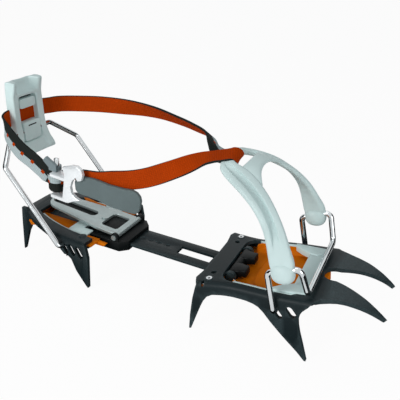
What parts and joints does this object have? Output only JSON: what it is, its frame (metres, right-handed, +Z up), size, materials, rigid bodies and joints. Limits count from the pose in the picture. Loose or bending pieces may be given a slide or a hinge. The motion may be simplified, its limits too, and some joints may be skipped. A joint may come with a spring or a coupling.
{
  "type": "mountaineering crampon",
  "caption": "Strap-on mountaineering crampon for a right boot: hinged steel front and heel sections on a sliding bar, with wire bails, moulded toe harness, heel lever and ankle strap.",
  "frame": {"origin": "middle of the whole crampon's outline, on the ground that the point tips stand on", "axes": "+X towards the toe, along the foot; +Y towards the inner side of the foot; +Z up"},
  "size_m": [0.3191, 0.0973, 0.153],
  "materials": {
    "black_steel": "satin",
    "bright_steel": "satin",
    "wire": "polished",
    "pale_plastic": "satin",
    "orange_plastic": "satin",
    "black_plastic": "matte",
    "grey_plastic": "matte",
    "polished": "polished",
    "webbing": "woven"
  },
  "bodies": {
    "heel": {"heel_frame": "black_steel", "heel_snow_plate": "orange_plastic", "heel_snow_rim": "pale_plastic", "heel_rivets": "bright_steel", "bar_guide": "black_plastic", "guide_rivets": "black_steel", "adjuster_pin": "bright_steel", "adjuster_spring": "bright_steel", "strap_far": "webbing", "strap_near": "webbing", "strap_rear": "webbing", "strap_loop": "webbing", "strap_tail": "webbing", "buckle_body": "polished", "buckle_pin": "wire", "buckle_pad": "grey_plastic"},
    "bar": {"link_bar": "black_steel", "bar_yoke": "black_plastic", "yoke_rivets": "black_steel"},
    "front": {"front_frame": "black_steel", "front_snow_plate": "orange_plastic", "front_snow_rim": "pale_plastic", "front_rivets": "bright_steel", "hinge_pin": "black_steel"},
    "toe_bail": {"toe_wire": "wire", "toe_harness": "pale_plastic", "strap_toe": "webbing"},
    "adjuster": {"adjuster_lever": "bright_steel", "adjuster_stud": "bright_steel"},
    "heel_bail": {"heel_wire": "wire"},
    "heel_lever": {"heel_lever": "pale_plastic", "lever_insert": "pale_plastic", "strap_heel": "webbing"},
    "buckle_lever": {"buckle_lever": "grey_plastic"}
  },
  "joints": [
    {"name": "bar_slide", "type": "slide", "parent": "heel", "child": "bar", "axis": [1, 0, 0], "range_m": [-0.01, 0.04], "deforming": ["strap_far", "strap_near"]},
    {"name": "front_hinge", "type": "hinge", "parent": "bar", "child": "front", "pos_m": [0.04677, -0.0014, 0.0382], "axis": [-0.0523, 0.9986, 0], "range_deg": [-5, 10], "deforming": ["strap_far", "strap_near"]},
    {"name": "toe_bail_swing", "type": "hinge", "parent": "front", "child": "toe_bail", "pos_m": [0.08725, 0.00072, 0.03584], "axis": [-0.0523, 0.9986, 0], "range_deg": [-40, 0], "deforming": ["strap_far", "strap_near"]},
    {"name": "adjuster_lift", "type": "hinge", "parent": "heel", "child": "adjuster", "pos_m": [-0.0556, -0.002, 0.0405], "axis": [0, 1, 0], "range_deg": [0, 60], "stiffness_Nm_per_rad": 0.06, "springref_deg": -11.46},
    {"name": "heel_bail_swing", "type": "hinge", "parent": "heel", "child": "heel_bail", "pos_m": [-0.0916, -0.002, 0.034], "axis": [0, 1, 0], "range_deg": [-45, 15], "deforming": ["strap_far", "strap_rear"]},
    {"name": "heel_lever_flip", "type": "hinge", "parent": "heel_bail", "child": "heel_lever", "pos_m": [-0.1521, -0.002, 0.109], "axis": [0, 1, 0], "range_deg": [-100, 10], "deforming": ["strap_far", "strap_rear"]},
    {"name": "buckle_lever_turn", "type": "hinge", "parent": "heel", "child": "buckle_lever", "pos_m": [-0.0951, -0.038, 0.072], "axis": [0.0702, 0, 0.9975], "range_deg": [0, 60]}
  ]
}
